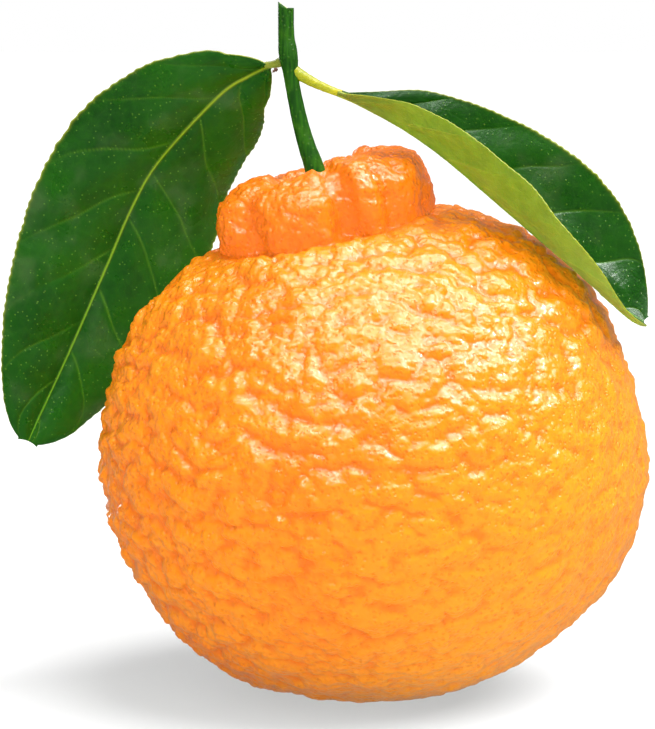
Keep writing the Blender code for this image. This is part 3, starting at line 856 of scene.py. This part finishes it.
def make_leaf(node, leaf, stalk, materials):
    """A thin blade, folded about its midrib and quilted between its side veins."""
    points, share, column, width, along = blade_grid(leaf, stalk)
    plain = clear_of_fruit(points, LEAF_CLEARANCE)
    out = np.abs(column)
    points = scalloped(plain, share, out, along, leaf)
    shape = points.shape[:2]
    from_rib = width[:, None] * out / MM
    marks = blade_marks(points, share, column, from_rib, leaf)
    relief = blade_relief(points, share, out, from_rib, marks)
    up = np.cross(np.gradient(points, axis=0), np.gradient(points, axis=1))
    up /= np.maximum(norm(up, axis=2, keepdims=True), TINY)
    half = LEAF_THICKNESS / 2 * (1 - 0.5 * out**8)
    keel = KEEL_DEPTH * MM * bell(from_rib / KEEL_HALF_WIDTH) * (1 - 0.7 * share[:, None])
    upper = clear_of_fruit(points + up * (relief + half)[..., None], SKIN_CLEARANCE)
    lower = clear_of_fruit(points + up * (relief - half - keel)[..., None], SKIN_CLEARANCE)
    flat_upper = plain + up * LEAF_THICKNESS / 2
    flat_lower = plain - up * LEAF_THICKNESS / 2

    both = np.concatenate([upper.reshape(-1, 3), lower.reshape(-1, 3)])
    flat = np.concatenate([flat_upper.reshape(-1, 3), flat_lower.reshape(-1, 3)])
    faces, side = sheet_faces(*shape)
    painted = dict(zip(("rib", "vein", "net"), marks))
    painted["edge"] = np.broadcast_to(out**110, shape)
    painted["along"] = np.broadcast_to(share[:, None], shape)
    painted = {name: np.tile(values.ravel(), 2) for name, values in painted.items()}
    new_piece(node, "leaf", fitted(both, flat, node), faces, materials, side, **painted)


def sheet_faces(rows, columns):
    """The faces of a closed sheet whose upper points come first, and each face's side."""
    index = np.arange(rows * columns).reshape(rows, columns)
    first, second = index[:-1, :-1].ravel(), index[1:, :-1].ravel()
    third, fourth = index[1:, 1:].ravel(), index[:-1, 1:].ravel()
    upper = np.stack([first, second, third, fourth], -1)
    lower = upper[:, ::-1] + rows * columns
    border = np.concatenate([index[:, 0], index[-1, 1:], index[-2::-1, -1], index[0, -2:0:-1]])
    after = np.roll(border, -1)
    rim = np.stack([border, border + rows * columns, after + rows * columns, after], -1)
    side = np.concatenate([np.zeros(len(upper)), np.ones(len(lower)), np.zeros(len(rim))]).astype(int)
    return np.concatenate([upper, lower, rim]).tolist(), side


# ---- materials
class Look:
    """A principled material whose other nodes are added one by one."""

    def __init__(self, name, fixed):
        self.material = bpy.data.materials.new(name)
        self.material.use_nodes = True
        self.tree = self.material.node_tree
        self.shader = self.tree.nodes["Principled BSDF"]
        self.set(self.shader, fixed)
        self.place = self.tree.nodes.new("ShaderNodeTexCoord").outputs["Object"]

    def set(self, node, inputs):
        for name, value in inputs.items():
            socket = node.inputs[name]
            if isinstance(value, bpy.types.NodeSocket):
                self.tree.links.new(value, socket)
            else:
                socket.default_value = value

    def node(self, kind, inputs, output=0, **settings):
        """The output of a new node of this kind."""
        made = self.tree.nodes.new("ShaderNode" + kind)
        for name, value in settings.items():
            setattr(made, name, value)
        self.set(made, inputs)
        return made.outputs[output]

    def painted(self, name):
        return self.node("Attribute", {}, "Fac", attribute_name=name)

    def noise(self, size, detail=3.0, stretch=(1, 1, 1)):
        """Noise from 0 to 1, whose lumps are this many metres across."""
        place = self.node("Mapping", {"Vector": self.place, "Scale": stretch})
        return self.node("TexNoise", {"Vector": place, "Scale": 1 / size, "Detail": detail})

    def spots(self, size, inner, outer):
        """1 in small round spots, one to each cell of this size, and 0 outside them."""
        reach = self.node("TexVoronoi", {"Vector": self.place, "Scale": 1 / size}, "Distance")
        inputs = {"Value": reach, "From Min": outer, "From Max": inner}
        return self.node("MapRange", inputs, interpolation_type="SMOOTHSTEP")

    def spread(self, value, low, high, to_low=0.0, to_high=1.0):
        """The value, eased from to_low at low to to_high at high."""
        inputs = {"Value": value, "From Min": low, "From Max": high, "To Min": to_low, "To Max": to_high}
        return self.node("MapRange", inputs, interpolation_type="SMOOTHSTEP")

    def mix(self, share, first, second):
        """The first colour turning into the second: each a socket, or red, green and blue."""
        ends = [(*end, 1) if isinstance(end, tuple) else end for end in (first, second)]
        return self.node("Mix", {0: share, 6: ends[0], 7: ends[1]}, 2, data_type="RGBA")

    def tint(self, under, value, share, over):
        """The colour under, turned into the one over by this share of the value."""
        return self.mix(self.node("Math", {0: value, 1: share}, operation="MULTIPLY"), under, over)

    def mottled(self, value, first, second):
        """The first colour turning into the second as noise rises."""
        return self.mix(self.spread(value, 0.3, 0.7), first, second)

    def finished(self, skin, rough, raised):
        """The material, with this colour, roughness and relief."""
        self.set(self.shader, {"Base Color": skin, "Roughness": rough, "Normal": raised})
        return self.material

    def bump(self, height, depth, under=None):
        """A surface raised by height, whose full range stands for this many metres."""
        inputs = {"Height": height, "Distance": depth, "Strength": 1.0}
        if under is not None:
            inputs["Normal"] = under
        return self.node("Bump", inputs)


LEFT_STALK_ENDS = ((0.16, 0.20, 0.02), (0.30, 0.32, 0.03))
RIGHT_STALK_ENDS = ((0.30, 0.32, 0.003), (0.48, 0.42, 0.005))
CALYX_SHADES = ((0.07, 0.12, 0.02), (0.20, 0.24, 0.07))
BUD_SHADES = ((0.06, 0.02, 0.01), (0.16, 0.05, 0.02))
FLOOR_SHADES = ((0.83, 0.83, 0.83), (0.85, 0.85, 0.85))


def rind_material():
    """Waxy orange skin with oil glands; painted shade makes it darker and redder in its creases and on the
    neck, and painted light makes it lighter and yellower towards the smooth lower right.
    """
    look = Look(
        "rind",
        {
            "Subsurface Weight": 0.15,
            "Subsurface Radius": (1.0, 0.35, 0.08),
            "Subsurface Scale": 1.2 * MM,
            "Specular IOR Level": 0.25,
            "Coat Weight": 0.32,
            "Coat Roughness": 0.06,
        },
    )
    crease_shade, smooth_and_lit = look.painted("crease_shade"), look.painted("smooth_and_lit")
    broad = look.noise(22 * MM, 2.0)
    mottle = look.noise(2.4 * MM, 4.0)
    glands = look.spots(0.95 * MM, 0.12, 0.42)
    skin = look.mottled(broad, (0.92, 0.21, 0.001), (0.95, 0.26, 0.002))
    # painted light: lighter and yellower over the smoother lower right, where more light falls
    skin = look.tint(skin, smooth_and_lit, 0.85, (0.95, 0.315, 0.008))
    skin = look.mix(look.spread(mottle, 0.35, 0.75, 0.0, 0.4), skin, (0.96, 0.32, 0.006))
    skin = look.tint(skin, glands, 0.34, (0.84, 0.17, 0.002))
    # painted shade: the neck is painted darker and redder, as shade on its wall
    skin = look.tint(skin, look.painted("neck"), 0.75, (0.90, 0.18, 0.001))
    # painted shade: darker, redder colour in the creases between lumps, at the neck's foot and in its folds
    skin = look.tint(skin, crease_shade, 0.56, (0.84, 0.12, 0.001))
    rough = look.spread(mottle, 0.3, 0.8, 0.30, 0.42)
    fine = look.noise(0.55 * MM, 3.0)
    raised = look.bump(look.spots(1.15 * MM, 0.0, 0.8), 0.15 * MM)
    raised = look.bump(glands, -0.11 * MM, raised)
    raised = look.bump(fine, 0.03 * MM, raised)
    return look.finished(skin, rough, raised)


def leaf_upper_material():
    """Dark glossy green with oil dots, painted whitish sheen in patches, and paler ribs and edge."""
    look = Look("leaf_upper", {"Specular IOR Level": 0.24, "Subsurface Weight": 0.03})
    rib, vein = look.painted("rib"), look.painted("vein")
    net, edge = look.painted("net"), look.painted("edge")
    broad = look.noise(16 * MM, 3.0)
    mottle = look.noise(1.6 * MM, 4.0)
    dots = look.spots(0.95 * MM, 0.08, 0.2)
    blade = look.mottled(broad, (0.002, 0.040, 0.0001), (0.006, 0.074, 0.0002))
    blade = look.mix(look.spread(mottle, 0.3, 0.8, 0.0, 0.35), blade, (0.008, 0.095, 0.0006))
    # painted sheen: whitish-grey patches of reflection laid into the colour
    painted_sheen = look.spread(look.noise(9 * MM, 3.0), 0.52, 0.72, 0.0, 0.16)
    blade = look.mix(painted_sheen, blade, (0.11, 0.16, 0.08))
    blade = look.tint(blade, net, 0.1, (0.03, 0.17, 0.004))
    blade = look.tint(blade, dots, 0.4, (0.12, 0.32, 0.02))
    blade = look.tint(blade, vein, 0.36, (0.09, 0.28, 0.006))
    blade = look.tint(blade, edge, 0.7, (0.42, 0.46, 0.03))
    rib_colour = look.mix(look.painted("along"), (0.27, 0.37, 0.008), (0.10, 0.31, 0.006))
    blade = look.mix(rib, blade, rib_colour)
    rough = look.spread(look.noise(5 * MM, 3.0), 0.3, 0.75, 0.26, 0.40)
    raised = look.bump(look.noise(0.5 * MM, 3.0), 0.05 * MM)
    raised = look.bump(dots, 0.03 * MM, raised)
    return look.finished(blade, rough, raised)


def leaf_under_material():
    """Duller, paler green, with painted shade in dark olive at the blade's base, and palest towards its tip.
    """
    look = Look("leaf_under", {"Specular IOR Level": 0.35, "Subsurface Weight": 0.1})
    rib, vein, net = look.painted("rib"), look.painted("vein"), look.painted("net")
    mottle = look.noise(3 * MM, 4.0)
    dots = look.spots(0.8 * MM, 0.12, 0.3)
    along = look.painted("along")
    blade = look.mottled(mottle, (0.085, 0.22, 0.001), (0.13, 0.28, 0.002))
    # painted shade: dark olive at the blade's base
    blade = look.mix(look.spread(along, 0.0, 0.26, 0.8, 0.0), blade, (0.14, 0.14, 0.006))
    blade = look.mix(look.spread(along, 0.5, 0.9, 0.0, 0.5), blade, (0.22, 0.34, 0.03))
    blade = look.tint(blade, dots, 0.3, (0.10, 0.22, 0.006))
    blade = look.tint(blade, net, 0.12, (0.30, 0.45, 0.03))
    blade = look.tint(blade, vein, 0.3, (0.36, 0.48, 0.04))
    blade = look.mix(rib, blade, (0.45, 0.52, 0.04))
    raised = look.bump(mottle, 0.3 * MM)
    raised = look.bump(look.noise(0.45 * MM, 3.0), 0.1 * MM, raised)
    return look.finished(blade, 0.5, raised)


def bark_material():
    """Dark green bark with fine streaks along it, lighter patches and pale specks."""
    look = Look("green_bark", {"Specular IOR Level": 0.14})
    streaks = look.noise(0.5 * MM, 4.0, (1, 1, 0.12))
    broad = look.noise(3.5 * MM, 3.0)
    specks = look.spots(0.9 * MM, 0.12, 0.3)
    bark = look.mottled(streaks, (0.004, 0.048, 0.0002), (0.016, 0.10, 0.0003))
    bark = look.mix(look.spread(broad, 0.45, 0.75, 0.0, 0.6), bark, (0.045, 0.16, 0.001))
    bark = look.tint(bark, specks, 0.2, (0.10, 0.24, 0.01))
    raised = look.bump(streaks, 0.1 * MM)
    raised = look.bump(specks, 0.05 * MM, raised)
    return look.finished(bark, 0.45, raised)


def pith_material():
    look = Look("cut_pith", {"Specular IOR Level": 0.3})
    fleck = look.noise(0.35 * MM, 4.0)
    ring = look.spread(look.painted("out"), 0.55, 0.85)
    wood = look.mottled(fleck, (0.42, 0.50, 0.16), (0.72, 0.76, 0.42))
    wood = look.tint(wood, ring, 0.5, (0.35, 0.45, 0.09))
    raised = look.bump(fleck, 0.12 * MM)
    return look.finished(wood, 0.7, raised)


def stalk_material(name, base, tip):
    """Streaky skin that turns from one colour at the stalk's base to another at its tip."""
    look = Look(name, {"Specular IOR Level": 0.25})
    streaks = look.noise(0.6 * MM, 4.0, (0.3, 1, 1))
    skin = look.mix(look.painted("along"), base, tip)
    skin = look.mix(look.spread(streaks, 0.4, 0.75, 0.0, 0.5), skin, (0.16, 0.26, 0.02))
    raised = look.bump(streaks, 0.06 * MM)
    return look.finished(skin, 0.42, raised)


def scale_material(name, dark, light, grain_size):
    look = Look(name, {"Specular IOR Level": 0.4})
    fleck = look.noise(grain_size, 4.0)
    skin = look.mottled(fleck, dark, light)
    raised = look.bump(fleck, 0.1 * MM)
    return look.finished(skin, 0.6, raised)


def floor_material():
    look = Look("pale_floor", {"Specular IOR Level": 0.2, "Roughness": 0.8})
    fleck = look.noise(40 * MM, 2.0)
    paper = look.mix(look.spread(fleck, 0.2, 0.8), *FLOOR_SHADES)
    look.set(look.shader, {"Base Color": paper})
    return look.material


# ---- the studio
CAMERA_RISE = 8.0
CAMERA_LENS = 150.0
CAMERA_SENSOR = 36.0
CAMERA_CLIP_START = 0.01
CAMERA_AIM = (0.011, -0.0044, -0.0207)  # off the box's middle, in shares of the box's size
CAMERA_DISTANCE = 4.389  # times the box's height
FLOOR_REACH = 3.0
ROOM_LIGHT = 0.27
BACKDROP_LIGHT = 1.0
SUN = (76, 62, 4.2)  # degrees from the front to the right, degrees up, strength
SUN_SPREAD = 60.0
FILL_BOX = (-8, 42, 0.9, (0.8, 0.6), 5.6)  # degrees right, degrees up, metres away, size in metres, watts
GLOSS_BOXES = {
    "key": (10, 60, 0.8, (1.4, 0.1), 9.0),
    "top": (0, 96, 0.8, (1.0, 0.12), 6.8),
    "sheen": (-30, 36, 0.8, (0.3, 0.08), 2.4),
    "right_spark": (96, 50, 0.8, (0.1, 0.03), 3.0),
    "left_strip": (-150, 15, 0.6, (0.12, 0.4), 1.4),
    "spark": (66, 40, 0.8, (0.1, 0.05), 3.2),
}


def studio_way(turn, rise):
    """The unit vector this many degrees from the front towards the right, and this many degrees up."""
    turn, rise = radians(turn), radians(rise)
    return Vector((sin(turn) * cos(rise), -cos(turn) * cos(rise), sin(rise)))


def soft_box(name, turn, rise, reach, size, power, in_gloss=True):
    """An area light that shows only in the gloss of things, or else only lights them."""
    middle = (Vector(CAD_BOX[0]) + Vector(CAD_BOX[1])) / 2
    way = studio_way(turn, rise)
    light = bpy.data.lights.new(name, "AREA")
    light.shape = "RECTANGLE"
    light.size, light.size_y = size
    light.energy = power
    lamp = add(name, light, middle + way * reach, way)
    lamp.visible_diffuse = not in_gloss
    lamp.visible_glossy = in_gloss


def soft_sun(turn, rise, strength):
    sun = bpy.data.lights.new("sun", "SUN")
    sun.energy = strength
    sun.angle = radians(SUN_SPREAD)
    add("sun", sun, way=studio_way(turn, rise))


def make_camera():
    """A long lens, a little above the object and level with its front."""
    low, high = Vector(CAD_BOX[0]), Vector(CAD_BOX[1])
    size = high - low
    aim = (low + high) / 2 + size * Vector(CAMERA_AIM)
    way = studio_way(0, CAMERA_RISE)
    data = bpy.data.cameras.new("camera")
    data.lens = CAMERA_LENS
    data.sensor_width = CAMERA_SENSOR
    data.clip_start = CAMERA_CLIP_START
    bpy.context.scene.camera = add("camera", data, aim + way * CAMERA_DISTANCE * size.z, way)


def make_floor():
    """A wide level floor that the gloss of things doesn't show."""
    mesh = bpy.data.meshes.new("floor")
    corners = [(x * FLOOR_REACH, y * FLOOR_REACH, 0) for x, y in ((-1, -1), (1, -1), (1, 1), (-1, 1))]
    mesh.from_pydata(corners, [], [(0, 1, 2, 3)])
    mesh.materials.append(floor_material())
    floor = add("floor", mesh, (0, 0, CAD_BOX[0][2]))
    floor.visible_glossy = False


def make_room():
    """A dim room, with a bright backdrop that only the camera sees."""
    world = bpy.data.worlds.new("studio")
    world.use_nodes = True
    tree = world.node_tree
    room, backdrop = tree.nodes["Background"], tree.nodes.new("ShaderNodeBackground")
    for light, strength in ((room, ROOM_LIGHT), (backdrop, BACKDROP_LIGHT)):
        light.inputs["Color"].default_value = (1, 1, 1, 1)
        light.inputs["Strength"].default_value = strength
    seen = tree.nodes.new("ShaderNodeLightPath")
    choose = tree.nodes.new("ShaderNodeMixShader")
    tree.links.new(seen.outputs["Is Camera Ray"], choose.inputs[0])
    tree.links.new(room.outputs[0], choose.inputs[1])
    tree.links.new(backdrop.outputs[0], choose.inputs[2])
    tree.links.new(choose.outputs[0], tree.nodes["World Output"].inputs["Surface"])
    bpy.context.scene.world = world
    bpy.context.scene.view_settings.view_transform = "Standard"


def make_lights():
    """A sun for the shadow, a fill from the front, and boxes that give the gloss."""
    soft_sun(*SUN)
    soft_box("fill", *FILL_BOX, in_gloss=False)
    for name, settings in GLOSS_BOXES.items():
        soft_box(name, *settings)


def main():
    make_camera()
    make_floor()
    make_room()
    make_lights()
    make_fruit(rind_material())
    make_calyx(scale_material("calyx", *CALYX_SHADES, 0.9 * MM))
    make_stem(bark_material(), pith_material())
    make_stalk("left_stalk", LEFT_STALK, stalk_material("left_stalk", *LEFT_STALK_ENDS))
    make_stalk("right_stalk", RIGHT_STALK, stalk_material("right_stalk", *RIGHT_STALK_ENDS))
    make_bud(scale_material("bud_scale", *BUD_SHADES, 0.4 * MM))
    leaf_sides = [leaf_upper_material(), leaf_under_material()]
    make_leaf("left_leaf", LEFT_LEAF, LEFT_STALK, leaf_sides)
    make_leaf("right_leaf", RIGHT_LEAF, RIGHT_STALK, leaf_sides)


main()
